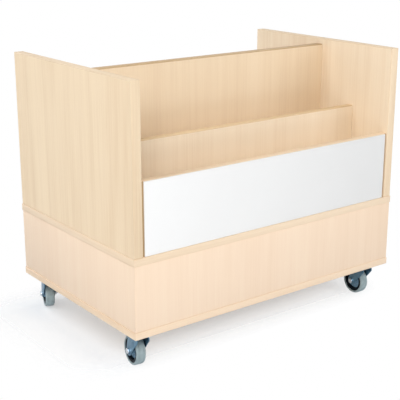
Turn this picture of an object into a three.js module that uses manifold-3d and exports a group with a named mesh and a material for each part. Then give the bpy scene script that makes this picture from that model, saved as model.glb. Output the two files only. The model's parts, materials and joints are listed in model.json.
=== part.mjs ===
// Picture book browser bin: a double-sided wooden trough for face-out picture books, on four swivel castors.
// Millimetres, +Z up. The origin lies on the floor under the middle of the bin, and -Y is the front.

import * as THREE from 'three';
import { mergeVertices } from 'three/addons/utils/BufferGeometryUtils.js';
import Module from 'manifold-3d';

const wasm = await Module();
wasm.setup();

// Clearances
const jointGap = 0.3; // between boards that are dowelled or glued together
const runGap = 0.3; // between castor pieces that turn or slide on each other

// Carcass boards
const bodyWidth = 850; // over the outer faces of the side panels
const bodyDepth = 550; // over the front and rear edges of the side panels
const sidePanelThickness = 25;
const sidePanelHeight = 410;
const centreDividerThickness = 25;
const centreDividerDrop = 15; // its top lies this far below the side panels' tops
const stepDividerThickness = 18;
const stepDividerHeight = 238;
const endBoardThickness = 18; // the low front and rear boards
const endBoardHeight = 180;
const facingPlateThickness = 3;
const facingPlateReveal = 6; // bare board left between the plate and each side panel
const facingPlateDrop = 1; // the plate's top edge lies this far below the board's top edge
const facingPlateEdge = 0.5; // rounding of the plate's edges
const facingRecess = 1; // the plate's face lies this far behind the side panels' front edges
const deckThickness = 18;
const bottomBoardThickness = 18;
const boardOverhang = 1.5; // deck and bottom board stand this far proud all round
const plinthHeight = 164;
const plinthThickness = 18;
const edgeRadius = 1; // rounding of the edge bands

// Castor wheel
const wheelSides = 28; // flats round the wheel; the bin stands on one of them
const tyreRadius = 37.5;
const tyreWidth = 25;
const tyreThickness = 6.2;
const tyreShoulder = 4; // rounding between tread and sidewall
const rimInset = 1.5; // the rim's faces lie this far inside the tyre's sidewalls
const rimThickness = 5;
const rimChamfer = 1;
const webThickness = 6;
const hubProud = 1.75; // the hub's faces lie this far outside the tyre's sidewalls
const hubWall = 4.7;
const sleeveThickness = 2.2;
const axleRadius = 4;

// Castor fork and swivel
const castorTrail = 24; // the axle lies this far behind the swivel axis
const hubSideGap = 0.6; // between the hub and each fork leg
const forkSheet = 2.5;
const forkBend = 8; // outer radius of the bend from crown to leg
const forkEndRadius = 12; // rounded leg end round the axle
const crownFront = 22; // from the swivel axis to the front edge of the crown
const crownRear = 27; // from the swivel axis to the rear edge of the crown
const crownSkirt = 13; // height of the legs' upright edges below the crown
const wheelToHead = 8.4; // free height between the tyre and the swivel head
const headRadius = 21;
const headThickness = 4;
const bearingRadius = 19;
const bearingHeight = 9;
const bearingBevel = 1.5; // bevels round the bearing's dust seal
const kingPinRadius = 5;
const kingPinLip = 3.5; // the rivet head's radius past the shank
const kingPinHeadHeight = 3.5;
const kingPinBevel = 2.3; // bevel round the rivet head

// Castor plate and fasteners
const plateSize = 60;
const plateThickness = 3;
const plateCorner = 7;
const screwInset = 8; // from the plate's edges to the middles of its screw holes
const screwHoleRadius = 3;
const boltHeadLip = 2.5; // half the width across flats past the bolt's shank
const boltHeadHeight = 5;
const nutHeight = 6.5;
const boltEnd = 2; // bolt length past the nut

// Castor places; each castor stands turned as it was last pushed
const castorInsetX = 42; // swivel axis to the side panels' outer faces
const castorInsetY = 50; // swivel axis to the side panels' front and rear edges
const castorTurnDegrees = {
  front_left: -7,
  front_right: -2,
  rear_left: -19,
  rear_right: -12,
}; // about +Z, with 0 for a wheel that trails straight to the rear

// Facets of the small round pieces
const pinSides = 16;
const bearingSides = 24;
const bendSteps = 4;

// Heights, from the floor up
const axleHeight = tyreRadius * Math.cos(Math.PI / wheelSides);
const headUnderside = axleHeight + tyreRadius + wheelToHead;
const headTop = headUnderside + headThickness;
const bearingTop = headTop + runGap + bearingHeight;
const plateUnderside = bearingTop + runGap;
const bottomBoardUnderside = plateUnderside + plateThickness + jointGap;
const plinthBottom = bottomBoardUnderside + bottomBoardThickness + jointGap;
const deckUnderside = plinthBottom + plinthHeight + jointGap;
const floorOfTrough = deckUnderside + deckThickness + jointGap;

// Places across the width and the depth
const innerWidth = bodyWidth - 2 * sidePanelThickness - 2 * jointGap;
const plateFace = bodyDepth / 2 - facingRecess;
const endBoardFace = plateFace - facingPlateThickness - jointGap;
const endBoardBack = endBoardFace - endBoardThickness;
const dividerFace = centreDividerThickness / 2;
const pocketDepth = (endBoardBack - dividerFace - stepDividerThickness) / 2;
const stepDividerMiddle = dividerFace + pocketDepth + stepDividerThickness / 2;

// Radii and widths inside the castor
const rimRadius = tyreRadius - tyreThickness - runGap;
const rimInnerRadius = rimRadius - rimThickness;
const rimWidth = tyreWidth - 2 * rimInset;
const sleeveInnerRadius = axleRadius + runGap;
const sleeveRadius = sleeveInnerRadius + sleeveThickness;
const hubBore = sleeveRadius + runGap;
const hubRadius = hubBore + hubWall;
const hubWidth = tyreWidth + 2 * hubProud;
const legInside = hubWidth / 2 + hubSideGap;
const legOutside = legInside + forkSheet;
const boltHeadAcross = 2 * (axleRadius + boltHeadLip);

const birch = new THREE.MeshStandardMaterial({ color: 0xf3dcbc, roughness: 0.55, metalness: 0 });
const white = new THREE.MeshStandardMaterial({ color: 0xf8f8f6, roughness: 0.35, metalness: 0 });
const zinc = new THREE.MeshStandardMaterial({ color: 0x9fb2bf, roughness: 0.35, metalness: 0.9 });
const steel = new THREE.MeshStandardMaterial({ color: 0xd4d8da, roughness: 0.25, metalness: 1 });
const blackPlastic = new THREE.MeshStandardMaterial({ color: 0x18222a, roughness: 0.45, metalness: 0 });
const greyRubber = new THREE.MeshStandardMaterial({ color: 0x98a4a6, roughness: 0.75, metalness: 0 });

const bin = new THREE.Group();

function addMesh(parent, name, geometry, material) {
  const mesh = new THREE.Mesh(geometry, material);
  mesh.name = name;
  parent.add(mesh);
  return mesh;
}

function toManifold(geometry) {
  const bare = geometry.clone();
  bare.deleteAttribute('normal');
  bare.deleteAttribute('uv');
  const merged = mergeVertices(bare, 1e-4);
  const mesh = new wasm.Mesh({
    numProp: 3,
    vertProperties: new Float32Array(merged.attributes.position.array),
    triVerts: new Uint32Array(merged.index.array),
  });
  return new wasm.Manifold(mesh);
}

function toGeometry(solid) {
  const mesh = solid.getMesh();
  const geometry = new THREE.BufferGeometry();
  geometry.setAttribute('position', new THREE.BufferAttribute(new Float32Array(mesh.vertProperties), 3));
  geometry.setIndex(new THREE.BufferAttribute(new Uint32Array(mesh.triVerts), 1));
  geometry.computeVertexNormals();
  return geometry;
}

function rectangle(width, height) {
  const shape = new THREE.Shape();
  shape.moveTo(-width / 2, -height / 2);
  shape.lineTo(width / 2, -height / 2);
  shape.lineTo(width / 2, height / 2);
  shape.lineTo(-width / 2, height / 2);
  shape.closePath();
  return shape;
}

// A round hole whose flats, not its corners, lie at the radius, so that a pin of that size passes
function roundHole(x, y, radius) {
  const cornerRadius = radius / Math.cos(Math.PI / pinSides);
  const corners = Array.from({ length: pinSides }, (_, corner) => {
    const angle = -2 * Math.PI * corner / pinSides;
    return new THREE.Vector2(x + cornerRadius * Math.cos(angle), y + cornerRadius * Math.sin(angle));
  });
  return new THREE.Path(corners);
}

// A closed ring or a solid of revolution about +Z, from [radius, height] points
function revolve(points, sides, startAngle = 0) {
  const profile = points.map(([radius, height]) => new THREE.Vector2(radius, height));
  return new THREE.LatheGeometry(profile, sides, startAngle, 2 * Math.PI).rotateX(Math.PI / 2);
}

// A flat board with rounded edges, centred on the origin, lying in the XY plane
function flatBoard(width, length, thickness, edge = edgeRadius) {
  const outline = rectangle(width - 2 * edge, length - 2 * edge);
  const core = thickness - 2 * edge;
  const geometry = new THREE.ExtrudeGeometry(outline, {
    depth: core,
    bevelThickness: edge,
    bevelSize: edge,
    bevelSegments: 2,
  });
  return geometry.translate(0, 0, -core / 2);
}

// A board that stands across the bin, facing the front and the rear
function crossBoard(width, height, thickness, edge = edgeRadius) {
  return flatBoard(width, height, thickness, edge).rotateX(Math.PI / 2);
}

// A board that stands along the depth of the bin, facing left and right
function sideBoard(depth, height, thickness) {
  return crossBoard(depth, height, thickness).rotateZ(Math.PI / 2);
}

function addTrough() {
  for (const [side, sign] of [['left', -1], ['right', 1]]) {
    const panel = sideBoard(bodyDepth, sidePanelHeight, sidePanelThickness);
    const x = sign * (bodyWidth - sidePanelThickness) / 2;
    addMesh(bin, `${side}_side_panel`, panel, birch)
      .position.set(x, 0, floorOfTrough + sidePanelHeight / 2);
  }

  const dividerHeight = sidePanelHeight - centreDividerDrop;
  addMesh(bin, 'centre_divider', crossBoard(innerWidth, dividerHeight, centreDividerThickness), birch)
    .position.set(0, 0, floorOfTrough + dividerHeight / 2);

  for (const [side, sign] of [['front', -1], ['rear', 1]]) {
    const step = crossBoard(innerWidth, stepDividerHeight, stepDividerThickness);
    addMesh(bin, `${side}_step_divider`, step, birch)
      .position.set(0, sign * stepDividerMiddle, floorOfTrough + stepDividerHeight / 2);

    const board = crossBoard(innerWidth, endBoardHeight, endBoardThickness);
    addMesh(bin, `${side}_board`, board, birch)
      .position.set(0, sign * (endBoardFace + endBoardBack) / 2, floorOfTrough + endBoardHeight / 2);
  }

  const plateWidth = innerWidth - 2 * facingPlateReveal;
  const plateHeight = endBoardHeight - facingPlateDrop;
  const facing = crossBoard(plateWidth, plateHeight, facingPlateThickness, facingPlateEdge);
  addMesh(bin, 'front_facing_plate', facing, white)
    .position.set(0, -plateFace + facingPlateThickness / 2, floorOfTrough + plateHeight / 2);
}

// A plinth wall seen from above: a strip with mitred ends, its outer face along -Y
function plinthWall(length) {
  const cut = jointGap / Math.SQRT2; // half of the glue line at each mitre, measured along the wall
  const outline = new THREE.Shape();
  outline.moveTo(-length / 2 + cut, 0);
  outline.lineTo(length / 2 - cut, 0);
  outline.lineTo(length / 2 - plinthThickness - cut, plinthThickness);
  outline.lineTo(-length / 2 + plinthThickness + cut, plinthThickness);
  outline.closePath();
  return new THREE.ExtrudeGeometry(outline, { depth: plinthHeight, bevelEnabled: false });
}

function addBase() {
  const slabWidth = bodyWidth + 2 * boardOverhang;
  const slabDepth = bodyDepth + 2 * boardOverhang;
  addMesh(bin, 'deck_board', flatBoard(slabWidth, slabDepth, deckThickness), birch)
    .position.set(0, 0, deckUnderside + deckThickness / 2);
  addMesh(bin, 'bottom_board', flatBoard(slabWidth, slabDepth, bottomBoardThickness), birch)
    .position.set(0, 0, bottomBoardUnderside + bottomBoardThickness / 2);

  const walls = [
    ['front_plinth_panel', bodyWidth, bodyDepth / 2, 0],
    ['right_plinth_panel', bodyDepth, bodyWidth / 2, 1],
    ['rear_plinth_panel', bodyWidth, bodyDepth / 2, 2],
    ['left_plinth_panel', bodyDepth, bodyWidth / 2, 3],
  ];
  for (const [name, length, reach, quarter] of walls) {
    const turn = new THREE.Group();
    turn.rotation.z = quarter * Math.PI / 2;
    bin.add(turn);
    addMesh(turn, name, plinthWall(length), birch).position.set(0, -reach, plinthBottom);
  }
}

function castorPlate() {
  const half = plateSize / 2;
  const inner = half - plateCorner;
  const outline = new THREE.Shape();
  outline.moveTo(inner, -half);
  outline.absarc(inner, -inner, plateCorner, -Math.PI / 2, 0, false);
  outline.absarc(inner, inner, plateCorner, 0, Math.PI / 2, false);
  outline.absarc(-inner, inner, plateCorner, Math.PI / 2, Math.PI, false);
  outline.absarc(-inner, -inner, plateCorner, Math.PI, 1.5 * Math.PI, false);
  outline.closePath();
  outline.holes.push(roundHole(0, 0, kingPinRadius + runGap));
  const screwReach = half - screwInset;
  for (const x of [-screwReach, screwReach]) {
    for (const y of [-screwReach, screwReach]) {
      outline.holes.push(roundHole(x, y, screwHoleRadius));
    }
  }
  return new THREE.ExtrudeGeometry(outline, {
    depth: plateThickness,
    bevelEnabled: false,
    curveSegments: bendSteps,
  });
}

function swivelBearing() {
  const inner = kingPinRadius + runGap;
  return revolve([
    [inner, 0],
    [bearingRadius - bearingBevel, 0],
    [bearingRadius, bearingBevel],
    [bearingRadius, bearingHeight - bearingBevel],
    [bearingRadius - bearingBevel, bearingHeight],
    [inner, bearingHeight],
    [inner, 0],
  ], bearingSides);
}

// The rivet that holds fork, bearing and plate together: a bevelled head under the fork and a long shank
function kingPin() {
  const headOuter = kingPinRadius + kingPinLip;
  const shank = plateUnderside + plateThickness - headUnderside + runGap;
  return revolve([
    [0, -kingPinHeadHeight],
    [headOuter - kingPinBevel, -kingPinHeadHeight],
    [headOuter, -kingPinHeadHeight + kingPinBevel],
    [headOuter, 0],
    [kingPinRadius, 0],
    [kingPinRadius, shank],
    [0, shank],
  ], pinSides);
}

// The point where a line from outside meets a circle at a tangent; side picks one of the two
function tangentPoint(from, centre, radius, side) {
  const away = Math.atan2(from.y - centre.y, from.x - centre.x);
  const angle = away + side * Math.acos(radius / from.distanceTo(centre));
  return { angle, x: centre.x + radius * Math.cos(angle), y: centre.y + radius * Math.sin(angle) };
}

// The fork's sheet seen from the front: a flat crown with a leg bent down at each side
function forkStrip() {
  const arch = new THREE.Shape();
  const shoulder = legOutside - forkBend;
  const bendCentre = headTop - forkBend;
  const insideBend = forkBend - forkSheet;
  arch.moveTo(-legOutside, 0);
  arch.lineTo(-legInside, 0);
  arch.absarc(-shoulder, bendCentre, insideBend, Math.PI, Math.PI / 2, true);
  arch.absarc(shoulder, bendCentre, insideBend, Math.PI / 2, 0, true);
  arch.lineTo(legInside, 0);
  arch.lineTo(legOutside, 0);
  arch.absarc(shoulder, bendCentre, forkBend, 0, Math.PI / 2, false);
  arch.absarc(-shoulder, bendCentre, forkBend, Math.PI / 2, Math.PI, false);
  arch.closePath();
  const rearReach = Math.max(crownRear, castorTrail + forkEndRadius) + forkSheet;
  const depth = crownFront + forkSheet + rearReach;
  return new THREE.ExtrudeGeometry(arch, { depth, bevelEnabled: false, curveSegments: bendSteps })
    .rotateX(Math.PI / 2)
    .translate(0, rearReach, 0);
}

// The fork's outline seen from the side, as a block as wide as the fork: crown, tapering legs, axle holes
function forkSideView() {
  const axle = new THREE.Vector2(castorTrail, axleHeight);
  const frontCorner = new THREE.Vector2(-crownFront, headTop - crownSkirt);
  const rearCorner = new THREE.Vector2(crownRear, headTop - crownSkirt);
  const front = tangentPoint(frontCorner, axle, forkEndRadius, 1);
  const rear = tangentPoint(rearCorner, axle, forkEndRadius, -1);
  const side = new THREE.Shape();
  side.moveTo(-crownFront, headTop + forkSheet);
  side.lineTo(frontCorner.x, frontCorner.y);
  side.lineTo(front.x, front.y);
  side.absarc(axle.x, axle.y, forkEndRadius, front.angle, rear.angle, false);
  side.lineTo(rearCorner.x, rearCorner.y);
  side.lineTo(crownRear, headTop + forkSheet);
  side.closePath();
  side.holes.push(roundHole(axle.x, axle.y, axleRadius + runGap));
  const depth = 2 * (legOutside + forkSheet);
  return new THREE.ExtrudeGeometry(side, { depth, bevelEnabled: false, curveSegments: 2 * bendSteps })
    .translate(0, 0, -depth / 2)
    .rotateX(Math.PI / 2)
    .rotateZ(Math.PI / 2);
}

// Pressed steel fork: a bent-down strip trimmed to its side view, with a round swivel head on its crown
function castorFork() {
  const head = revolve([
    [0, headUnderside],
    [headRadius, headUnderside],
    [headRadius, headTop],
    [0, headTop],
  ], bearingSides);
  const bore = revolve([
    [0, 0],
    [kingPinRadius + runGap, 0],
    [kingPinRadius + runGap, 2 * headTop],
    [0, 2 * headTop],
  ], pinSides);
  const sheet = toManifold(forkStrip()).intersect(toManifold(forkSideView()));
  return toGeometry(sheet.add(toManifold(head)).subtract(toManifold(bore)));
}

function hexagon(across) {
  const radius = across / Math.sqrt(3);
  const corners = [0, 1, 2, 3, 4, 5].map((corner) => {
    const angle = corner * Math.PI / 3;
    return new THREE.Vector2(radius * Math.cos(angle), radius * Math.sin(angle));
  });
  return new THREE.Shape(corners);
}

// Axle bolt along +X, with its head outside the left fork leg and its end past the nut on the right
function axleBolt() {
  const seat = legOutside + runGap;
  const end = seat + nutHeight + boltEnd;
  const outline = hexagon(boltHeadAcross);
  const head = new THREE.ExtrudeGeometry(outline, { depth: boltHeadHeight, bevelEnabled: false })
    .translate(0, 0, -seat - boltHeadHeight);
  const shank = revolve([
    [0, -seat - boltHeadHeight / 2],
    [axleRadius, -seat - boltHeadHeight / 2],
    [axleRadius, end],
    [0, end],
  ], pinSides);
  return toGeometry(toManifold(head).add(toManifold(shank))).rotateY(Math.PI / 2);
}

function axleNut() {
  const outline = hexagon(boltHeadAcross);
  outline.holes.push(roundHole(0, 0, axleRadius + runGap));
  return new THREE.ExtrudeGeometry(outline, { depth: nutHeight, bevelEnabled: false })
    .translate(0, 0, legOutside + runGap)
    .rotateY(Math.PI / 2);
}

function axleSleeve() {
  const half = legInside - runGap;
  return revolve([
    [sleeveInnerRadius, -half],
    [sleeveRadius, -half],
    [sleeveRadius, half],
    [sleeveInnerRadius, half],
    [sleeveInnerRadius, -half],
  ], pinSides).rotateY(Math.PI / 2);
}

// Half a turn of one flat, so that the wheel stands on a flat and not on a corner
const flatDown = Math.PI / wheelSides;

function wheelRim() {
  const halfHub = hubWidth / 2;
  const halfWeb = webThickness / 2;
  const halfRim = rimWidth / 2;
  const oneSide = [
    [hubBore, halfHub],
    [hubRadius - rimChamfer, halfHub],
    [hubRadius, halfHub - rimChamfer],
    [hubRadius, halfWeb],
    [rimInnerRadius, halfWeb],
    [rimInnerRadius, halfRim - rimChamfer],
    [rimInnerRadius + rimChamfer, halfRim],
    [rimRadius, halfRim],
  ];
  const otherSide = oneSide.map(([radius, height]) => [radius, -height]);
  const loop = [...otherSide, ...oneSide.reverse()];
  return revolve([...loop, loop[0]], wheelSides, flatDown).rotateY(Math.PI / 2);
}

function tyre() {
  const inner = tyreRadius - tyreThickness;
  const half = tyreWidth / 2;
  const shoulder = Array.from({ length: bendSteps }, (_, step) => {
    const angle = step / (bendSteps - 1) * Math.PI / 2;
    const drop = tyreShoulder * (1 - Math.cos(angle));
    const out = tyreShoulder * (1 - Math.sin(angle));
    return [tyreRadius - drop, half - out];
  });
  const otherShoulder = shoulder.map(([radius, height]) => [radius, -height]).reverse();
  const loop = [[inner, -half], ...otherShoulder, ...shoulder, [inner, half]];
  return revolve([...loop, loop[0]], wheelSides, flatDown).rotateY(Math.PI / 2);
}

function addCastor(place, x, y, degrees) {
  const fixed = new THREE.Group();
  fixed.position.set(x, y, 0);
  bin.add(fixed);
  addMesh(fixed, `${place}_castor_plate`, castorPlate(), zinc).position.z = plateUnderside;
  addMesh(fixed, `${place}_swivel_bearing`, swivelBearing(), blackPlastic).position.z = headTop + runGap;
  addMesh(fixed, `${place}_king_pin`, kingPin(), steel).position.z = headUnderside - runGap;

  const swivel = new THREE.Group();
  swivel.rotation.z = THREE.MathUtils.degToRad(degrees);
  fixed.add(swivel);
  addMesh(swivel, `${place}_fork`, castorFork(), zinc);

  const axle = new THREE.Group();
  axle.position.set(0, castorTrail, axleHeight);
  swivel.add(axle);
  addMesh(axle, `${place}_axle_bolt`, axleBolt(), steel);
  addMesh(axle, `${place}_axle_nut`, axleNut(), steel);
  addMesh(axle, `${place}_axle_sleeve`, axleSleeve(), steel);
  addMesh(axle, `${place}_wheel_rim`, wheelRim(), blackPlastic);
  addMesh(axle, `${place}_tyre`, tyre(), greyRubber);
}

addTrough();
addBase();
for (const [place, degrees] of Object.entries(castorTurnDegrees)) {
  const x = bodyWidth / 2 - castorInsetX;
  const y = bodyDepth / 2 - castorInsetY;
  addCastor(place, place.endsWith('left') ? -x : x, place.startsWith('front') ? -y : y, degrees);
}

export default bin;
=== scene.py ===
import json
import math

import bmesh
import bpy
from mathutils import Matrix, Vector


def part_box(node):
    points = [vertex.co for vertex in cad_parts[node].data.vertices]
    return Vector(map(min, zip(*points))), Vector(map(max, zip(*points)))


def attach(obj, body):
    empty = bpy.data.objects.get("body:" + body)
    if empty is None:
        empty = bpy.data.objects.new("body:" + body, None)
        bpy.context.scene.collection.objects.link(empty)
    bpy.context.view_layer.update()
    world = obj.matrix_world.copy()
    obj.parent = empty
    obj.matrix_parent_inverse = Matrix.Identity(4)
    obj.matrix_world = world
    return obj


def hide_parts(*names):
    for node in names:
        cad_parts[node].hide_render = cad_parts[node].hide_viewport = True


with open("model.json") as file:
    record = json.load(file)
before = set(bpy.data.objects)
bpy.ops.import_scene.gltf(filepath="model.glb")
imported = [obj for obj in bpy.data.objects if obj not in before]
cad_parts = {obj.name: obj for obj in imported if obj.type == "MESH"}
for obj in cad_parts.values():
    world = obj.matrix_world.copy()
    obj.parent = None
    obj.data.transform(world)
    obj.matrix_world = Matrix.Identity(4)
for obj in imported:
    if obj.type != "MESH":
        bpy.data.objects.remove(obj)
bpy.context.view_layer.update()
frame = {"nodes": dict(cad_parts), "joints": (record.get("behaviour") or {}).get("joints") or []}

MM = 0.001
MERGE = 0.001 * MM

# How closely a normal or an edge follows the axis that it is picked by
ALIGNED = 0.9

# Boards; JOINT is the play that the solids keep at a glued joint, closed here
JOINT = 0.3 * MM
BAND_ROUND = 1.0 * MM
BAND_BORDER = 1.6 * MM
PLINTH_ROUND = 0.8 * MM
PLATE_ROUND = 0.5 * MM
PLATE_LIP = 0.2 * MM
FACE_PLAY = 0.01 * MM

# Castors, each in its own place: swivel axis on Z, wheel trailing to +Y, floor at 0
PLACES = ("front_left", "front_right", "rear_left", "rear_right")
TRAIL = 24 * MM
AXLE_HEIGHT = 37.264 * MM
RUN_GAP = 0.3 * MM
ROUND_SIDES = 96

# Fork
LEG_OUTSIDE = 17.35 * MM
FORK_SHEET = 2.5 * MM
FORK_BEND = 8 * MM
FORK_END = 12 * MM
FORK_ROUND = 0.45 * MM
CROWN_FRONT = 22 * MM
CROWN_REAR = 27 * MM
CROWN_SKIRT = 13 * MM
HEAD_RADIUS = 21 * MM
HEAD_BOTTOM = 83.164 * MM
HEAD_TOP = 87.164 * MM
HEAD_STEP = 0.2 * MM
HEAD_CHAMFER = 0.6 * MM
FOOT_PLAY = 0.1 * MM
CORNER_PLAY = 0.5 * MM
SHEET_MERGE = 0.05 * MM
SHEET_UP = 20 * MM

# Castor plate with its screws; rings are [radius, height] in millimetres
CASTOR_PLATE_BOTTOM = 96.764 * MM
CASTOR_PLATE_TOP = 99.764 * MM
CASTOR_PLATE_SIZE = 60 * MM
CASTOR_PLATE_CORNER = 7 * MM
CASTOR_PLATE_ROUND = 0.4 * MM
SCREW_REACH = 22 * MM
SCREW_SPOTS = [(x, y) for x in (-SCREW_REACH, SCREW_REACH) for y in (-SCREW_REACH, SCREW_REACH)]
SCREW_HOLE = 3.1 * MM
SCREW_RINGS = [(3, 2.6), (3, 0), (5.2, -0.05), (5.2, -0.7), (4.7, -1.6), (3.6, -2.2), (2, -2.5)]
SCREW_SIDES = 32
SLOT_REACH = 2.4 * MM
SLOT_HALF = 0.5 * MM
SLOT_BOTTOM = 3 * MM
SLOT_TOP = 1.2 * MM

# Bearing and king pin
BEARING_RADIUS = 19 * MM
BEARING_BORE = 5.6 * MM
BEARING_LIP = 1.5 * MM
SEAL_HALF = 0.6 * MM
SEAL_DEPTH = 0.8 * MM
PIN_RADIUS = 5 * MM
PIN_HOLE = PIN_RADIUS + RUN_GAP
RIVET_TIP = (1.2 * MM, 3.5 * MM)
RIVET_CURVE = 3 * MM
RIVET_MIDDLE = (5.4 * MM, 0.5 * MM)
RIVET_RADIUS = 8.5 * MM

# Axle bolt and nut
BOLT_SEAT = 17.65 * MM
BOLT_ACROSS = 13 * MM
BOLT_SIDES = 48
BOLT_HEAD = 4 * MM
BOLT_DOME = 0.6 * MM
BOLT_ROOT = 1 * MM
BOLT_END = 8.5 * MM
BOLT_POINT = 3.5 * MM
AXLE_RADIUS = 4 * MM
AXLE_HOLE = AXLE_RADIUS + RUN_GAP
THREAD_START = 6.6 * MM
THREAD_PITCH = 0.6 * MM
THREAD_DEPTH = 0.35 * MM
THREAD_TURNS = 3
NUT_HEIGHT = 4.6 * MM
NUT_DOME = 0.2 * MM
NUT_HOLE = 4.05 * MM
NUT_COLLAR = [(5.4, 4.4), (5.4, 5.8), (4.9, 6.4), (4.3, 6.5)]
HEXAGON_RIM = 1.3 * MM
HEXAGON_CROWN = 1.6 * MM
HEXAGON_ROUND = 0.5 * MM

# Wheel; one side's rings are [radius, distance from the wheel's middle] in millimetres
WEB_RADIUS = 22.6 * MM
HUB_RINGS = [(6.8, 14.25), (10.5, 14.25), (11.2, 13.9), (11.5, 13.2), (11.7, 4.2), (12.6, 3.2)]
WEB_RINGS = [(13.6, 3), (21.6, 3), (22.8, 3.3), (23.5, 4.4)]
RIM_RINGS = [(23.7, 9.4), (24.1, 10.5), (25, 11), (30.4, 11), (31, 10.5), (31, 4), (31.26, 3.6)]
TYRE_WALL = [(31.3, 12.2), (31.7, 12.5), (33.2, 12.5)]
SHOULDER_MIDDLE = (33.2, 8.6)
SHOULDER_RADIUS = 3.9
# Tread rings are [depth below the tyre's outside, distance from the wheel's middle]
TREAD_RINGS = [(0.06, 7), (0.06, 6.5), (0.8, 6.1), (0.8, 5.3), (0.02, 4.9), (0.02, 0.35)]


# Selecting and shaping

def leave_all():
    bpy.ops.object.select_all(action="DESELECT")


def work_on(piece):
    leave_all()
    piece.select_set(True)
    bpy.context.view_layer.objects.active = piece


def settle(piece):
    """Puts the piece's place, turn and size into its mesh."""
    work_on(piece)
    bpy.ops.object.transform_apply(location=True, rotation=True, scale=True)


def named_start(name):
    """Names the primitive that was just added and puts its place into its mesh."""
    piece = bpy.context.object
    piece.name = name
    settle(piece)
    return piece


def open_mesh(piece, kind):
    work_on(piece)
    bpy.ops.object.mode_set(mode="EDIT")
    bpy.ops.mesh.select_mode(type=kind)
    bpy.ops.mesh.select_all(action="DESELECT")


def close_mesh():
    bpy.ops.object.mode_set(mode="OBJECT")


def pick(piece, kind, wanted):
    """Selects the faces, edges or corners of an open mesh for which wanted is true."""
    mesh = bmesh.from_edit_mesh(piece.data)
    mesh.normal_update()
    group = {"FACE": mesh.faces, "EDGE": mesh.edges, "VERT": mesh.verts}[kind]
    bpy.ops.mesh.select_all(action="DESELECT")
    for element in group:
        if wanted(element):
            element.select_set(True)
    mesh.select_flush_mode()
    bmesh.update_edit_mesh(piece.data)


def edge_middle(edge):
    return (edge.verts[0].co + edge.verts[1].co) / 2


def edge_run(edge):
    return (edge.verts[1].co - edge.verts[0].co).normalized()


def face_outwards(piece):
    """Merges doubles and turns the faces of a closed piece outwards."""
    open_mesh(piece, "FACE")
    bpy.ops.mesh.select_all(action="SELECT")
    bpy.ops.mesh.remove_doubles(threshold=MERGE)
    bpy.ops.mesh.normals_make_consistent(inside=False)
    close_mesh()


def finish_modifier(piece, kind, **settings):
    """Adds a modifier, sets it and applies it."""
    work_on(piece)
    modifier = piece.modifiers.new(kind.title(), kind)
    for name, value in settings.items():
        setattr(modifier, name, value)
    bpy.ops.object.modifier_apply(modifier=modifier.name)


def soften(piece, width, segments=2, angle=35):
    """Rounds all edges that are sharper than an angle in degrees."""
    finish_modifier(
        piece,
        "BEVEL",
        width=width,
        segments=segments,
        limit_method="ANGLE",
        angle_limit=math.radians(angle),
    )


def smooth(piece, angle=38):
    work_on(piece)
    bpy.ops.object.shade_smooth_by_angle(angle=math.radians(angle))


def carve(piece, tool, operation="DIFFERENCE"):
    """Cuts the tool's shape out of the piece, or welds it on, and puts the tool away."""
    finish_modifier(piece, "BOOLEAN", operation=operation, object=tool, solver="EXACT")
    bpy.data.objects.remove(tool)


def block(name, low, high):
    """A block between two corners, with its place in its mesh."""
    leave_all()
    bpy.ops.mesh.primitive_cube_add(size=1, location=(low + high) / 2, scale=high - low)
    return named_start(name)


def turned(name, profile, closed=False, sides=ROUND_SIDES):
    """A piece turned about Z: each ring of [radius, height] is drawn out of the one before."""
    radius, height = profile[0]
    leave_all()
    bpy.ops.mesh.primitive_circle_add(
        vertices=sides,
        radius=radius,
        location=(0, 0, height),
        fill_type="NOTHING" if closed else "NGON",
    )
    piece = named_start(name)
    open_mesh(piece, "EDGE" if closed else "FACE")
    bpy.ops.mesh.select_all(action="SELECT")
    for next_radius, next_height in profile[1:]:
        rise = (0, 0, next_height - height)
        bpy.ops.mesh.extrude_region_move(TRANSFORM_OT_translate={"value": rise})
        share = next_radius / radius
        bpy.ops.transform.resize(value=(share, share, 1), center_override=(0, 0, next_height))
        radius, height = next_radius, next_height
    if closed:
        bpy.ops.mesh.select_all(action="DESELECT")
        bpy.ops.mesh.select_non_manifold()
        bpy.ops.mesh.bridge_edge_loops()
    close_mesh()
    face_outwards(piece)
    return piece


def arc(middle, radius, start, end, steps):
    """Points [radius, height] of a rounded edge, from one angle to another in degrees."""
    points = []
    for step in range(steps + 1):
        angle = math.radians(start + (end - start) * step / steps)
        across = middle[0] + radius * math.cos(angle)
        points.append((across, middle[1] + radius * math.sin(angle)))
    return points


def in_metres(rings, lift=0.0):
    """Rings that are written in millimetres, in metres and lifted to their place."""
    return [(radius * MM, height * MM + lift) for radius, height in rings]


def both_sides(side, between=()):
    """A wheel's whole profile from the rings of one side, from one face to the other."""
    return [(r, -z) for r, z in side] + list(between) + side[::-1]


def copy_of(piece, name):
    work_on(piece)
    bpy.ops.object.duplicate(linked=False)
    twin = bpy.context.object
    twin.name = name
    return twin


def together(name, pieces):
    leave_all()
    for piece in pieces:
        piece.select_set(True)
    bpy.context.view_layer.objects.active = pieces[0]
    bpy.ops.object.join()
    whole = bpy.context.object
    whole.name = name
    return whole


def dress(piece, *finishes):
    piece.data.materials.clear()
    for finish in finishes:
        piece.data.materials.append(finish)


def assign(piece, slot, wanted):
    """Gives one of an open mesh's finishes to the faces for which wanted is true."""
    pick(piece, "FACE", wanted)
    piece.active_material_index = slot
    bpy.ops.object.material_slot_assign()


# Finishes

# The part of a noise's range in which most of its values lie
MOSTLY = (0.3, 0.7)

# How far the grain of one kind of birch is moved from the next
GRAIN_STEP = 1.3


def paint(red, green, blue):
    """A colour from a 0 to 255 chart, as linear shader values."""
    def linear(value):
        value /= 255
        return value / 12.92 if value <= 0.04045 else ((value + 0.055) / 1.055) ** 2.4
    return (linear(red), linear(green), linear(blue), 1)


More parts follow.
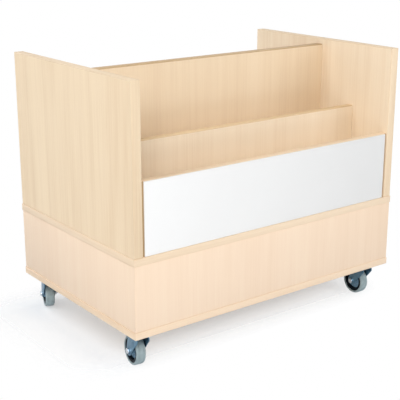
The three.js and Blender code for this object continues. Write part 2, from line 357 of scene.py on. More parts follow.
def new_finish(name, **settings):
    finish = bpy.data.materials.new(name)
    finish.use_nodes = True
    shader = finish.node_tree.nodes["Principled BSDF"]
    for socket, value in settings.items():
        shader.inputs[socket.replace("_", " ")].default_value = value
    return finish, finish.node_tree, shader


def feed(tree, socket, value):
    """Links a node's output to a socket, or sets the socket to a plain value."""
    if isinstance(value, bpy.types.NodeSocket):
        tree.links.new(value, socket)
    else:
        socket.default_value = value


def reckon(tree, operation, *values):
    """A sum on plain values and outputs."""
    node = tree.nodes.new("ShaderNodeMath")
    node.operation = operation
    for socket, value in zip(node.inputs, values):
        feed(tree, socket, value)
    return node.outputs[0]


def noise(tree, scale, detail=2.0, distortion=0.0, offset=0.0):
    """Noise on the piece's own coordinates; scale counts blotches in a metre on X, Y and Z."""
    coordinates = tree.nodes.new("ShaderNodeTexCoord")
    mapping = tree.nodes.new("ShaderNodeMapping")
    mapping.inputs["Scale"].default_value = scale
    mapping.inputs["Location"].default_value = (offset, offset, offset)
    texture = tree.nodes.new("ShaderNodeTexNoise")
    texture.inputs["Scale"].default_value = 1
    texture.inputs["Detail"].default_value = detail
    texture.inputs["Distortion"].default_value = distortion
    tree.links.new(coordinates.outputs["Object"], mapping.inputs["Vector"])
    tree.links.new(mapping.outputs["Vector"], texture.inputs["Vector"])
    return texture.outputs["Fac"]


def own_axes(tree):
    """The X, Y and Z of the piece's own coordinates."""
    coordinates = tree.nodes.new("ShaderNodeTexCoord")
    apart = tree.nodes.new("ShaderNodeSeparateXYZ")
    tree.links.new(coordinates.outputs["Object"], apart.inputs["Vector"])
    return apart.outputs


def even(scale):
    return (scale, scale, scale)


def along(grain, lengthwise, across):
    return tuple(lengthwise if axis == grain else across for axis in "XYZ")


def blend(tree, parts):
    """The weighted sum of several noises."""
    total = 0
    for source, weight in parts:
        total = reckon(tree, "MULTIPLY_ADD", source, weight, total)
    return total


def spread(tree, source, given, wanted):
    """Values of a given range moved to the wanted one and kept inside it."""
    node = tree.nodes.new("ShaderNodeMapRange")
    tree.links.new(source, node.inputs["Value"])
    for socket, value in zip(("From Min", "From Max", "To Min", "To Max"), given + wanted):
        node.inputs[socket].default_value = value
    return node.outputs["Result"]


def ramp(tree, source, stops):
    node = tree.nodes.new("ShaderNodeValToRGB")
    elements = node.color_ramp.elements
    while len(elements) < len(stops):
        elements.new(0.5)
    for element, (position, colour) in zip(elements, stops):
        element.position = position
        element.color = colour
    tree.links.new(source, node.inputs["Fac"])
    return node.outputs["Color"]


def mixed(tree, share, first, second):
    """Mixes two colours by a share from a noise."""
    node = tree.nodes.new("ShaderNodeMix")
    node.data_type = "RGBA"
    tree.links.new(share, node.inputs[0])
    feed(tree, node.inputs[6], first)
    feed(tree, node.inputs[7], second)
    return node.outputs[2]


def coat(tree, shader, colour, roughness):
    tree.links.new(colour, shader.inputs["Base Color"])
    tree.links.new(roughness, shader.inputs["Roughness"])


def relief(tree, shader, height, strength, distance):
    node = tree.nodes.new("ShaderNodeBump")
    node.inputs["Strength"].default_value = strength
    node.inputs["Distance"].default_value = distance
    tree.links.new(height, node.inputs["Height"])
    tree.links.new(node.outputs["Normal"], shader.inputs["Normal"])


def birch(name, grain, light, middle, dark, offset):
    """Birch-grain board: broad bands, fine streaks and short flecks, all along the grain."""
    finish, tree, shader = new_finish(name, IOR=1.45, Specular_IOR_Level=0.3)
    figure = noise(tree, along(grain, 0.7, 8), detail=2, distortion=0.4, offset=offset)
    bands = noise(tree, along(grain, 1.5, 36), detail=4, distortion=0.3, offset=offset)
    streaks = noise(tree, along(grain, 4.5, 240), detail=4, distortion=0.2, offset=offset)
    flecks = noise(tree, along(grain, 55, 950), detail=1, offset=offset)
    tone = blend(tree, [(figure, 0.34), (bands, 0.36), (streaks, 0.3)])
    colour = ramp(tree, tone, [(0.36, dark), (0.5, middle), (0.63, light)])
    colour = mixed(tree, spread(tree, flecks, (0.64, 0.78), (0, 0.5)), colour, dark)
    coat(tree, shader, colour, spread(tree, streaks, MOSTLY, (0.58, 0.46)))
    pores = blend(tree, [(streaks, 0.7), (flecks, 0.3)])
    relief(tree, shader, pores, strength=0.12, distance=0.2 * MM)
    return finish


def white_laminate(name, light, shade):
    """Smooth white sheet, faintly clouded, with painted shade that greys it towards its right end.
    """
    finish, tree, shader = new_finish(name, IOR=1.48)
    cloud = noise(tree, even(6), detail=3, distortion=0.5)
    peel = noise(tree, even(700))
    # Painted shade: the sheet's colour runs from light to shade along X, greyest at its right end
    painted_shade_rightwards = spread(tree, own_axes(tree)["X"], (-0.4, 0.4), (0, 1))
    cloud_and_painted_shade = blend(tree, [(painted_shade_rightwards, 0.9), (cloud, 0.2)])
    colour = ramp(tree, cloud_and_painted_shade, [(0.1, light), (0.95, shade)])
    coat(tree, shader, colour, spread(tree, cloud, MOSTLY, (0.3, 0.4)))
    relief(tree, shader, peel, strength=0.05, distance=0.1 * MM)
    return finish


def plated(name, light, dark, roughness):
    """Plated steel: a slightly uneven passivated tint, dull patches and fine scratches."""
    finish, tree, shader = new_finish(name, Metallic=1.0)
    tint = noise(tree, even(55), detail=4, distortion=0.8)
    wear = noise(tree, even(220), detail=5, distortion=1.2)
    scratches = noise(tree, (160, 2600, 420))
    tone = blend(tree, [(tint, 0.7), (wear, 0.3)])
    colour = ramp(tree, tone, [(0.38, dark), (0.62, light)])
    coat(tree, shader, colour, spread(tree, wear, MOSTLY, roughness))
    marks = blend(tree, [(scratches, 0.5), (wear, 0.5)])
    relief(tree, shader, marks, strength=0.1, distance=0.1 * MM)
    return finish


def moulded(name, light, dark, roughness, gloss):
    """Moulded plastic with faint flow marks and a little floor dust."""
    finish, tree, shader = new_finish(name, IOR=1.5, Specular_IOR_Level=gloss)
    flow = noise(tree, even(90), detail=3, distortion=0.6)
    grain = noise(tree, even(1800))
    dust = noise(tree, even(34), detail=5, distortion=0.4)
    colour = ramp(tree, flow, [(0.35, dark), (0.65, light)])
    dusty = spread(tree, dust, (0.56, 0.8), (0, 0.1))
    colour = mixed(tree, dusty, colour, paint(92, 98, 100))
    coat(tree, shader, colour, spread(tree, dust, MOSTLY, roughness))
    relief(tree, shader, grain, strength=0.12, distance=0.1 * MM)
    return finish


def grey_rubber(name, light, dark, scuffed):
    """Soft grey tyre rubber with pores and scuffs."""
    finish, tree, shader = new_finish(name, IOR=1.5)
    cloud = noise(tree, even(60), detail=4, distortion=0.5)
    scuffs = noise(tree, even(260), detail=5, distortion=1.5)
    pores = noise(tree, even(2400))
    colour = ramp(tree, cloud, [(0.35, dark), (0.65, light)])
    colour = mixed(tree, spread(tree, scuffs, (0.58, 0.76), (0, 0.32)), colour, scuffed)
    coat(tree, shader, colour, spread(tree, scuffs, MOSTLY, (0.66, 0.84)))
    marks = blend(tree, [(pores, 0.6), (scuffs, 0.4)])
    relief(tree, shader, marks, strength=0.2, distance=0.12 * MM)
    return finish


# Light, middle and dark of each kind of birch
BIRCH = {
    "panel": (paint(244, 222, 190), paint(239, 216, 184), paint(231, 205, 171)),
    # The right panel's kind: the left panel's laminate painted lighter, as painted light on the
    # right panel's shaded inner face
    "panel_painted_light": (paint(246, 228, 202), paint(242, 223, 196), paint(235, 213, 184)),
    "panel_edge": (paint(235, 213, 181), paint(231, 208, 176), paint(223, 197, 164)),
    # Painted shade: the side panels' top and bottom edges, darker than their faces
    "panel_top_painted_shade": (paint(238, 217, 188), paint(234, 212, 182), paint(224, 200, 169)),
    # The centre divider's kind: the panels' laminate painted lighter, as painted light against the
    # shade between the boards
    "divider": (paint(244, 222, 191), paint(241, 218, 186), paint(235, 210, 178)),
    # Painted shade: the centre divider's top edge, much darker than its faces
    "divider_top_painted_shade": (paint(206, 178, 141), paint(197, 168, 129), paint(184, 154, 115)),
    # The step kind, also used on the front, rear and deck boards: painted lighter still, as painted
    # light against the shade between the boards
    "step": (paint(249, 231, 205), paint(246, 227, 200), paint(240, 219, 191)),
    # Painted shade: the step dividers' top edges, darker than their faces
    "step_top_painted_shade": (paint(230, 203, 164), paint(223, 195, 155), paint(212, 183, 143)),
    # Painted shade: the front and rear boards' top edges, darker than their faces
    "front_top_painted_shade": (paint(242, 218, 188), paint(238, 213, 182), paint(229, 203, 171)),
    "deck_edge": (paint(242, 219, 191), paint(238, 214, 185), paint(230, 204, 173)),
    "plinth": (paint(245, 222, 196), paint(243, 218, 192), paint(240, 214, 187)),
    "bottom_edge": (paint(244, 220, 193), paint(241, 216, 188), paint(233, 206, 176)),
    # Painted shade: the dark brown shown in the narrow gaps beside the facing plate
    "painted_gap_shade": (paint(196, 165, 126), paint(186, 154, 115), paint(172, 140, 102)),
    # The right panel's edge: painted lighter as painted light, like its faces
    "panel_painted_light_edge": (paint(243, 221, 190), paint(239, 216, 185), paint(231, 205, 173)),
}


def board_finish(kind, grain):
    """A kind of birch with its grain along an axis, made when it is first asked for."""
    name = f"birch_{kind}_{grain.lower()}"
    finish = bpy.data.materials.get(name)
    if finish is None:
        offset = GRAIN_STEP * list(BIRCH).index(kind)
        finish = birch(name, grain, *BIRCH[kind], offset=offset)
    return finish


# The plate's white and its edge, each running from a light left end to a painted-shade grey at the
# right end
plate_white = white_laminate("white_laminate", paint(244, 243, 241), paint(226, 225, 223))
plate_edge = white_laminate("white_laminate_edge", paint(232, 230, 225), paint(222, 219, 212))
zinc = plated("blue_zinc", paint(114, 147, 168), paint(86, 120, 143), (0.26, 0.42))
bright = plated("bright_steel", paint(222, 226, 230), paint(188, 194, 200), (0.16, 0.3))
black = moulded("moulded_black", paint(8, 20, 30), paint(3, 11, 19), (0.36, 0.52), 0.1)
# The rim's web and hub: a blue-grey much lighter than the black rim, painted reflection and painted
# light of the bluish sheen on it
slate = moulded("moulded_web_painted_sheen", paint(138, 172, 196), paint(106, 140, 164), (0.28, 0.44), 0.3)
rubber = grey_rubber(
    "grey_rubber", paint(161, 177, 180), paint(143, 159, 162), paint(112, 125, 128)
)


# Boards

def finished(piece, node, body):
    smooth(piece)
    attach(piece, body)
    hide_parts(node)


def on_face(face, thin, low, high):
    """Whether a face lies on one of the board's two broad faces."""
    middle = face.calc_center_median()[thin]
    return min(middle - low[thin], high[thin] - middle) < FACE_PLAY


def rounded_board(node, thin, less, more, rounding, border):
    """A board grown to its neighbours, with rounded edges and a border round its broad faces."""
    low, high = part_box(node)
    low -= Vector(less)
    high += Vector(more)
    piece = block(node + "_finished", low, high)
    open_mesh(piece, "EDGE")
    bpy.ops.mesh.select_all(action="SELECT")
    bpy.ops.mesh.bevel(offset=rounding, segments=3, profile=0.5, affect="EDGES")
    bpy.ops.mesh.select_mode(type="FACE")
    pick(piece, "FACE", lambda f: on_face(f, thin, low, high))
    bpy.ops.mesh.inset(thickness=border)
    return piece, low, high


def banded_board(node, thin, grain, kind, bands, less=(0, 0, 0), more=(0, 0, 0)):
    """A board with a kind of edge band on each pair of edges, its grain along the edge."""
    thin = "XYZ".index(thin)
    piece, low, high = rounded_board(node, thin, less, more, BAND_ROUND, BAND_BORDER)
    first, second = [axis for axis in range(3) if axis != thin]
    dress(
        piece,
        board_finish(kind, grain),
        board_finish(bands[0], "XYZ"[second]),
        board_finish(bands[1], "XYZ"[first]),
    )
    middle = (low + high) / 2
    half = (high - low) / 2
    field = BAND_BORDER + BAND_ROUND
    def reach(face, axis):
        return half[axis] - abs(face.calc_center_median()[axis] - middle[axis])
    def on_field(face):
        inside = min(reach(face, first), reach(face, second)) > field
        return inside and on_face(face, thin, low, high)
    assign(piece, 1, lambda f: not on_field(f) and reach(f, first) <= reach(f, second))
    assign(piece, 2, lambda f: not on_field(f) and reach(f, first) > reach(f, second))
    close_mesh()
    finished(piece, node, "carcass")


def shade_gap_margins(piece, reach):
    """The two margins of the front board beside its plate, painted dark brown as the shade in the
    gaps beside the plate.
    """
    open_mesh(piece, "FACE")
    for side in (-reach, reach):
        bpy.ops.mesh.select_all(action="SELECT")
        bpy.ops.mesh.bisect(plane_co=(side, 0, 0), plane_no=(1, 0, 0))
    def is_margin(face):
        return face.normal.y < -0.5 and abs(face.calc_center_median().x) > reach
    piece.data.materials.append(board_finish("painted_gap_shade", "Z"))
    assign(piece, len(piece.data.materials) - 1, is_margin)
    close_mesh()


def facing_plate():
    node = "front_facing_plate"
    thin = "XYZ".index("Y")
    against_board = (0, JOINT, 0)
    piece, low, high = rounded_board(
        node, thin, (0, 0, 0), against_board, PLATE_ROUND, PLATE_LIP
    )
    dress(piece, plate_white, plate_edge)
    assign(piece, 1, lambda f: not on_face(f, thin, low, high))
    close_mesh()
    finished(piece, node, "carcass")


def plinth_wall(node, outwards):
    """A plinth wall, cut to a mitre at both ends."""
    low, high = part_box(node)
    out = Vector(outwards)
    run = Vector((abs(out.y), abs(out.x), 0))
    grow = run * (JOINT / math.sqrt(2)) + Vector((0, 0, JOINT))
    low -= grow
    high += grow
    piece = block(node + "_finished", low, high)
    middle = (low + high) / 2
    half = (high - low) / 2
    open_mesh(piece, "FACE")
    for side in (-1, 1):
        end = run * side
        corner = Vector(middle[i] + (out[i] + end[i]) * half[i] for i in range(3))
        mitre = (end - out).normalized()
        bpy.ops.mesh.select_all(action="SELECT")
        bpy.ops.mesh.bisect(plane_co=corner, plane_no=mitre, use_fill=True, clear_outer=True)
    close_mesh()
    face_outwards(piece)
    soften(piece, PLINTH_ROUND, segments=3)
    dress(piece, board_finish("plinth", "Z"))
    finished(piece, node, "carcass")


DOWN = (0, 0, JOINT)
ENDS = (JOINT, 0, 0)
ENDS_DOWN = (JOINT, 0, JOINT)

# The right panel takes the copy of the panel birch that is painted lighter, as painted light; both
# panels' top edges take the darker top kind, painted shade
for side, kind in (("left", "panel"), ("right", "panel_painted_light")):
    banded_board(side + "_side_panel", "X", "Z", kind, (kind + "_edge", "panel_top_painted_shade"), less=DOWN)
# The dividers, steps and boards take lighter copies of the panel birch as painted light, and darker
# top edges as painted shade
banded_board("centre_divider", "Y", "Z", "divider", ("divider", "divider_top_painted_shade"), ENDS_DOWN, ENDS)
for side in ("front", "rear"):
    banded_board(side + "_step_divider", "Y", "Z", "step", ("step", "step_top_painted_shade"), ENDS_DOWN, ENDS)
    banded_board(side + "_board", "Y", "Z", "step", ("step", "front_top_painted_shade"), ENDS_DOWN, ENDS)
# Paints shade onto the front board's margins beside the plate
shade_gap_margins(bpy.data.objects["front_board_finished"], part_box("front_facing_plate")[1].x)
facing_plate()
banded_board("deck_board", "Z", "X", "step", ("deck_edge", "deck_edge"))
banded_board("bottom_board", "Z", "X", "plinth", ("bottom_edge", "bottom_edge"))
plinth_wall("front_plinth_panel", (0, -1, 0))
plinth_wall("right_plinth_panel", (1, 0, 0))
plinth_wall("rear_plinth_panel", (0, 1, 0))
plinth_wall("left_plinth_panel", (-1, 0, 0))


# Castor pieces, each modelled once

def drill(piece, radius, place, turn=0.0):
    """Drills a round hole right through a castor piece, upright or turned about Y."""
    leave_all()
    bpy.ops.mesh.primitive_cylinder_add(
        vertices=ROUND_SIDES,
        radius=radius,
        depth=CASTOR_PLATE_SIZE,
        location=place,
        rotation=(0, turn, 0),
    )
    carve(piece, bpy.context.object)


def castor_plate():
    """A square plate with round corners and holes for the king pin and the screws."""
    half = CASTOR_PLATE_SIZE / 2
    low = Vector((-half, -half, CASTOR_PLATE_BOTTOM))
    high = Vector((half, half, CASTOR_PLATE_TOP))
    piece = block("castor_plate", low, high)
    open_mesh(piece, "EDGE")
    pick(piece, "EDGE", lambda e: abs(edge_run(e).z) > ALIGNED)
    bpy.ops.mesh.bevel(offset=CASTOR_PLATE_CORNER, segments=8, profile=0.5, affect="EDGES")
    close_mesh()
    soften(piece, CASTOR_PLATE_ROUND)
    drill(piece, PIN_HOLE, (0, 0, CASTOR_PLATE_BOTTOM))
    for x, y in SCREW_SPOTS:
        drill(piece, SCREW_HOLE, (x, y, CASTOR_PLATE_BOTTOM))
    dress(piece, zinc)
    return piece


def plate_screws():
    """Four pan-head screws under the plate, each with a cross slot."""
    screw = turned("plate_screw", in_metres(SCREW_RINGS, CASTOR_PLATE_BOTTOM), sides=SCREW_SIDES)
    for across, deep in ((SLOT_REACH, SLOT_HALF), (SLOT_HALF, SLOT_REACH)):
        low = Vector((-across, -deep, CASTOR_PLATE_BOTTOM - SLOT_BOTTOM))
        high = Vector((across, deep, CASTOR_PLATE_BOTTOM - SLOT_TOP))
        carve(screw, block("screw_slot", low, high))
    screws = []
    for x, y in SCREW_SPOTS:
        twin = copy_of(screw, "plate_screw_copy")
        twin.location = (x, y, 0)
        settle(twin)
        screws.append(twin)
    bpy.data.objects.remove(screw)
    piece = together("plate_screws", screws)
    dress(piece, bright)
    return piece


def swivel_bearing():
    """A ring between fork and plate, with round lips and the groove of its dust seal."""
    low = HEAD_TOP + RUN_GAP
    high = CASTOR_PLATE_BOTTOM - RUN_GAP
    middle = (low + high) / 2
    outer = BEARING_RADIUS
    shoulder = outer - BEARING_LIP
    profile = [(BEARING_BORE, low)]
    profile += arc((shoulder, low + BEARING_LIP), BEARING_LIP, -90, 0, 4)
    profile += [
        (outer, middle - SEAL_HALF),
        (outer - SEAL_DEPTH, middle),
        (outer, middle + SEAL_HALF),
    ]
    profile += arc((shoulder, high - BEARING_LIP), BEARING_LIP, 0, 90, 4)
    profile += [(BEARING_BORE, high)]
    piece = turned("swivel_bearing", profile, closed=True)
    dress(piece, black)
    return piece


def king_pin():
    """A rivet through fork, bearing and plate, with a round head under the fork's head."""
    seat = HEAD_BOTTOM - RUN_GAP
    profile = [(RIVET_TIP[0], seat - RIVET_TIP[1])]
    profile += arc((RIVET_MIDDLE[0], seat - RIVET_MIDDLE[1]), RIVET_CURVE, -78, 0, 6)
    profile += [(RIVET_RADIUS, seat), (PIN_RADIUS, seat), (PIN_RADIUS, CASTOR_PLATE_TOP)]
    piece = turned("king_pin", profile)
    dress(piece, bright)
    return piece


def tangent(corner, side):
    """Where a line from a corner of the fork's side view touches its leg's round end, as (y, z)."""
    away = Vector((corner[0] - TRAIL, corner[1] - AXLE_HEIGHT))
    angle = math.atan2(away.y, away.x) + side * math.acos(FORK_END / away.length)
    return TRAIL + FORK_END * math.cos(angle), AXLE_HEIGHT + FORK_END * math.sin(angle)


def leg_line(corner, side):
    """The direction square to the line from a corner to the round end, pointing out of the leg."""
    touch = tangent(corner, side)
    run = Vector((0, touch[0] - corner[0], touch[1] - corner[1])).normalized()
    normal = Vector((0, -run.z, run.y))
    return normal if normal.y * side < 0 else -normal


def trim(piece, where, corner, normal):
    """Cuts the sheet along a line of its side view, between two heights, and drops the outside."""
    low, high = where
    place = Vector((0, *corner))
    def within(face):
        return low < face.calc_center_median().z < high
    def outside(face):
        return within(face) and (face.calc_center_median() - place).dot(normal) > 0
    pick(piece, "FACE", within)
    bpy.ops.mesh.bisect(plane_co=place, plane_no=normal)
    pick(piece, "FACE", outside)
    bpy.ops.mesh.delete(type="FACE")


def round_foot(piece, reach):
    """Rounds both legs' lower corners that lie the given reach behind the axle."""
    foot = AXLE_HEIGHT - FORK_END
    def is_corner(vert):
        aside = abs(vert.co.y - TRAIL - reach)
        return vert.co.z < foot + FOOT_PLAY and aside < CORNER_PLAY
    pick(piece, "VERT", is_corner)
    bpy.ops.mesh.bevel(offset=abs(reach), segments=10, profile=0.5, affect="VERTICES")


def sheet_outwards(piece):
    """Turns the open sheet's faces upwards on the crown and sideways on the legs."""
    def inwards(face):
        outside = Vector((face.calc_center_median().x, 0, SHEET_UP))
        return face.normal.dot(outside) < 0
    open_mesh(piece, "FACE")
    pick(piece, "FACE", inwards)
    bpy.ops.mesh.flip_normals()
    close_mesh()


def fork():
    """Sheet steel bent down to two legs, trimmed, rounded round the axle, with a round head."""
    skirt = HEAD_TOP - CROWN_SKIRT
    low = Vector((-LEG_OUTSIDE, -CROWN_FRONT, AXLE_HEIGHT - FORK_END))
    high = Vector((LEG_OUTSIDE, TRAIL + FORK_END, HEAD_TOP))
    piece = block("fork", low, high)
    open_mesh(piece, "FACE")
    pick(piece, "FACE", lambda f: abs(f.normal.y) > ALIGNED or f.normal.z < -ALIGNED)
    bpy.ops.mesh.delete(type="FACE")
    bpy.ops.mesh.select_mode(type="EDGE")
    def is_bend(edge):
        return abs(edge_run(edge).y) > ALIGNED and edge_middle(edge).z > HEAD_TOP - MM
    pick(piece, "EDGE", is_bend)
    bpy.ops.mesh.bevel(offset=FORK_BEND, segments=8, profile=0.5, affect="EDGES")
    bpy.ops.mesh.select_mode(type="FACE")
    bpy.ops.mesh.select_all(action="SELECT")
    bpy.ops.mesh.bisect(plane_co=(0, 0, skirt), plane_no=(0, 0, 1))
    trim(piece, (skirt, HEAD_TOP + MM), (CROWN_REAR, skirt), Vector((0, 1, 0)))
    front = leg_line((-CROWN_FRONT, skirt), 1)
    rear = leg_line((CROWN_REAR, skirt), -1)
    trim(piece, (0, skirt), (-CROWN_FRONT, skirt), front)
    trim(piece, (0, skirt), (CROWN_REAR, skirt), rear)
    bpy.ops.mesh.select_mode(type="VERT")
    lean = math.atan2(-front.y, -front.z)
    round_foot(piece, FORK_END)
    round_foot(piece, -FORK_END * math.tan(lean / 2))
    bpy.ops.mesh.select_all(action="SELECT")
    bpy.ops.mesh.remove_doubles(threshold=SHEET_MERGE)
    close_mesh()
    sheet_outwards(piece)
    finish_modifier(piece, "SOLIDIFY", thickness=FORK_SHEET, offset=-1, use_even_offset=True)
    soften(piece, FORK_ROUND, segments=3)
    ring = HEAD_TOP - HEAD_STEP
    profile = [
        (HEAD_RADIUS - HEAD_CHAMFER, HEAD_BOTTOM),
        (HEAD_RADIUS, HEAD_BOTTOM + HEAD_CHAMFER),
        (HEAD_RADIUS, ring - HEAD_CHAMFER),
        (HEAD_RADIUS - HEAD_CHAMFER, ring),
    ]
    carve(piece, turned("fork_head", profile), "UNION")
    drill(piece, PIN_HOLE, (0, 0, HEAD_TOP))
    drill(piece, AXLE_HOLE, (0, TRAIL, AXLE_HEIGHT), math.pi / 2)
    dress(piece, zinc)
    return piece


def hexagon_head(name, height, dome):
    """A six-sided head on Z that starts at the bolt's seat, with its upper corners turned off."""
    leave_all()
    bpy.ops.mesh.primitive_cylinder_add(
        vertices=6,
        radius=BOLT_ACROSS / math.sqrt(3),
        depth=height,
        location=(0, 0, BOLT_SEAT + height / 2),
    )
    piece = named_start(name)
    open_mesh(piece, "FACE")
    pick(piece, "FACE", lambda f: f.normal.z > ALIGNED)
    bpy.ops.mesh.inset(thickness=HEXAGON_RIM)
    bpy.ops.transform.translate(value=(0, 0, dome))
    bpy.ops.mesh.inset(thickness=HEXAGON_CROWN)
    bpy.ops.transform.translate(value=(0, 0, dome / 2))
    close_mesh()
    soften(piece, HEXAGON_ROUND, segments=3, angle=25)
    return piece


def lay_along_axle(piece, turn):
    """Turns a piece from Z to lie along X, with Z to the given side, and lifts it to the axle."""
    piece.rotation_euler = (0, turn * math.pi / 2, 0)
    piece.location = (0, TRAIL, AXLE_HEIGHT)
    settle(piece)


def axle_bolt():
    """A hexagon bolt with a plain shank, whose thread shows beyond the nut."""
    piece = hexagon_head("axle_bolt", BOLT_HEAD, BOLT_DOME)
    thread = -BOLT_SEAT - THREAD_START
    profile = [(AXLE_RADIUS, BOLT_SEAT + BOLT_ROOT), (AXLE_RADIUS, thread)]
    for turn in range(THREAD_TURNS):
        base = thread - THREAD_PITCH * turn
        profile += [
            (AXLE_RADIUS - THREAD_DEPTH, base - THREAD_PITCH / 2),
            (AXLE_RADIUS, base - THREAD_PITCH),
        ]
    profile[-1] = (BOLT_POINT, -BOLT_SEAT - BOLT_END)
    carve(piece, turned("axle_shank", profile, sides=BOLT_SIDES), "UNION")
    lay_along_axle(piece, -1)
    dress(piece, bright)
    return piece


def axle_nut():
    """A locking nut: six sides with a round collar on its outer end."""
    piece = hexagon_head("axle_nut", NUT_HEIGHT, NUT_DOME)
    collar = turned("nut_collar", in_metres(NUT_COLLAR, BOLT_SEAT), sides=BOLT_SIDES)
    carve(piece, collar, "UNION")
    drill(piece, NUT_HOLE, (0, 0, BOLT_SEAT))
    lay_along_axle(piece, 1)
    dress(piece, bright)
    return piece


def wheel_rim():
    """Moulded rim with a hub, a web and a low bead under the tyre, the same on both sides; the web
    and hub wear a light blue-grey that is painted reflection and painted light on the black
    moulding.
    """
    side = in_metres(HUB_RINGS + WEB_RINGS + RIM_RINGS)
    piece = turned("wheel_rim", both_sides(side), closed=True)
    dress(piece, black, slate)
    open_mesh(piece, "FACE")
    assign(piece, 1, lambda f: f.calc_center_median().xy.length < WEB_RADIUS)
    close_mesh()
    lay_along_axle(piece, 1)
    return piece


def tyre():
    """Tyre with round shoulders, two fine grooves in its tread and the seam of its mould."""
    outer = AXLE_HEIGHT
    shoulder = arc(SHOULDER_MIDDLE, SHOULDER_RADIUS, 90, 12, 8)[1:]
    side = in_metres(TYRE_WALL + shoulder)
    side += [(outer - depth * MM, away * MM) for depth, away in TREAD_RINGS]
    seam = [(outer, 0)]
    piece = turned("tyre", both_sides(side, seam), closed=True)
    lay_along_axle(piece, 1)
    dress(piece, rubber)
    return piece


def set_castors(piece, part, body, replaced=True):
    """Copies a castor piece to the four places, each turned as its castor stands."""
    joints = {joint["name"]: joint for joint in frame["joints"]}
    for place in PLACES:
        spot = joints[place + "_swivel_turn"]["pos_m"]
        axle = joints[place + "_wheel_roll"]["axis"]
        twin = copy_of(piece, f"{place}_{part}_finished")
        twin.rotation_euler = (0, 0, math.atan2(axle[1], axle[0]))
        twin.location = (spot[0], spot[1], 0)
        settle(twin)
        smooth(twin)
        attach(twin, body if body == "carcass" else f"{place}_{body}")
        if replaced:
            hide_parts(f"{place}_{part}")
    bpy.data.objects.remove(piece)


set_castors(castor_plate(), "castor_plate", "carcass")
set_castors(plate_screws(), "plate_screws", "carcass", replaced=False)
set_castors(swivel_bearing(), "swivel_bearing", "carcass")
set_castors(king_pin(), "king_pin", "carcass")
set_castors(fork(), "fork", "swivel")
set_castors(axle_bolt(), "axle_bolt", "swivel")
set_castors(axle_nut(), "axle_nut", "swivel")
set_castors(wheel_rim(), "wheel_rim", "wheel")
set_castors(tyre(), "tyre", "wheel")
for place in PLACES:
    dress(frame["nodes"][place + "_axle_sleeve"], bright)


# Floor, light and camera

WHITE = (1, 1, 1, 1)
ROOM_LIGHT = 0.2

# The floor shows its shadow within a box on X and Y and clears to white over the fade
FLOOR_COLOUR = (0.885, 0.925, 0.975, 1)
FLOOR_SIZE = 14
FLOOR_DROP = 0.5 * MM
SHADOW_LOW = (-0.43, -0.1)
SHADOW_HIGH = (0.36, 0.25)
SHADOW_FADE = 0.15
SHADOW_CLEAR = 0.36

# Name, place, height aimed at, size and watts
LAMPS = (
    ("key_front_left", (-2.4, -2.8, 2.6), 0.35, 2.2, 91),
    ("fill_front_right", (1.4, -3.0, 2.4), 0.35, 2.0, 18),
    ("low_front_right", (2.2, -3.2, 1.6), 0.35, 2.0, 29),
    ("top_left", (-2.2, 0.4, 3.0), 0.3, 2.0, 42),
    ("rear", (-0.6, 3.6, 1.6), 0.35, 2.0, 38),
    ("right", (3.4, 0.4, 1.6), 0.35, 2.0, 30),
)

CAMERA_PLACE = (-1.52476, -1.98125, 1.0596)
CAMERA_TURN = math.radians(-37.04)
CAMERA_TILT = math.radians(16.92)
CAMERA_LENS = 85.5
CAMERA_SENSOR = 36
CAMERA_REACH = 50


def beyond(tree, value, low, high):
    """How far a coordinate lies outside a range, or 0 inside it."""
    under = reckon(tree, "SUBTRACT", low, value)
    over = reckon(tree, "SUBTRACT", value, high)
    return reckon(tree, "MAXIMUM", reckon(tree, "MAXIMUM", under, over), 0)


def show_mixed(tree, share, first, second, output):
    """Shows two shaders mixed by a share."""
    mix = tree.nodes.new("ShaderNodeMixShader")
    tree.links.new(share, mix.inputs[0])
    tree.links.new(first, mix.inputs[1])
    tree.links.new(second, mix.inputs[2])
    tree.links.new(mix.outputs["Shader"], tree.nodes[output].inputs["Surface"])


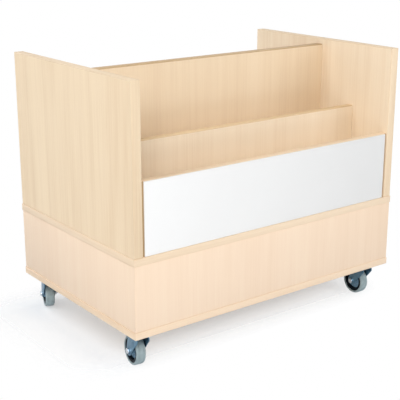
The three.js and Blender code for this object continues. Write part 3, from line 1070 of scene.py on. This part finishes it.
def pale_floor():
    """A pale floor that keeps the shadow near the bin and clears to the white behind it."""
    leave_all()
    bpy.ops.mesh.primitive_plane_add(size=FLOOR_SIZE, location=(0, 0, -FLOOR_DROP))
    floor = bpy.context.object
    floor.name = "floor"
    finish, tree, shader = new_finish(
        "floor_white", Base_Color=FLOOR_COLOUR, Roughness=0.9, Specular_IOR_Level=0.1
    )
    axes = own_axes(tree)
    away = tree.nodes.new("ShaderNodeCombineXYZ")
    for axis, low, high in zip("XY", SHADOW_LOW, SHADOW_HIGH):
        tree.links.new(beyond(tree, axes[axis], low, high), away.inputs[axis])
    distance = tree.nodes.new("ShaderNodeVectorMath")
    distance.operation = "LENGTH"
    tree.links.new(away.outputs["Vector"], distance.inputs[0])
    fade = spread(tree, distance.outputs["Value"], (0, SHADOW_FADE), (SHADOW_CLEAR, 1))
    path = tree.nodes.new("ShaderNodeLightPath")
    seen = reckon(tree, "MULTIPLY", path.outputs["Is Camera Ray"], fade)
    clear = tree.nodes.new("ShaderNodeBsdfTransparent")
    show_mixed(tree, seen, shader.outputs["BSDF"], clear.outputs["BSDF"], "Material Output")
    floor.data.materials.append(finish)


def white_room():
    """A white surround to look at and in reflections, and an even light for everything else."""
    world = bpy.data.worlds.new("white_room")
    bpy.context.scene.world = world
    world.use_nodes = True
    tree = world.node_tree
    light = tree.nodes["Background"]
    surround = tree.nodes.new("ShaderNodeBackground")
    for background, strength in ((light, ROOM_LIGHT), (surround, 1)):
        background.inputs["Color"].default_value = WHITE
        background.inputs["Strength"].default_value = strength
    rays = tree.nodes.new("ShaderNodeLightPath").outputs
    seen = reckon(tree, "MAXIMUM", rays["Is Camera Ray"], rays["Is Glossy Ray"])
    seen = reckon(tree, "MAXIMUM", seen, rays["Is Transmission Ray"])
    lit, white = light.outputs["Background"], surround.outputs["Background"]
    show_mixed(tree, seen, lit, white, "World Output")


def set_up(name, data):
    """Puts a lamp or a camera into the scene."""
    stand = bpy.data.objects.new(name, data)
    bpy.context.scene.collection.objects.link(stand)
    return stand


def look(stand, direction):
    stand.rotation_euler = direction.to_track_quat("-Z", "Y").to_euler()


def soft_lamp(name, place, aim, size, watts):
    lamp = bpy.data.lights.new(name, "AREA")
    lamp.shape = "SQUARE"
    lamp.size = size
    lamp.energy = watts
    stand = set_up(name, lamp)
    stand.location = place
    look(stand, Vector((0, 0, aim)) - Vector(place))


def camera():
    lens = bpy.data.cameras.new("camera")
    lens.sensor_width = CAMERA_SENSOR
    lens.lens = CAMERA_LENS
    lens.clip_end = CAMERA_REACH
    stand = set_up("camera", lens)
    stand.location = CAMERA_PLACE
    level = math.cos(CAMERA_TILT)
    forwards = (-math.sin(CAMERA_TURN) * level, math.cos(CAMERA_TURN) * level)
    look(stand, Vector((*forwards, -math.sin(CAMERA_TILT))))
    bpy.context.scene.camera = stand


pale_floor()
white_room()
for lamp in LAMPS:
    soft_lamp(*lamp)
camera()
bpy.context.scene.view_settings.view_transform = "Standard"
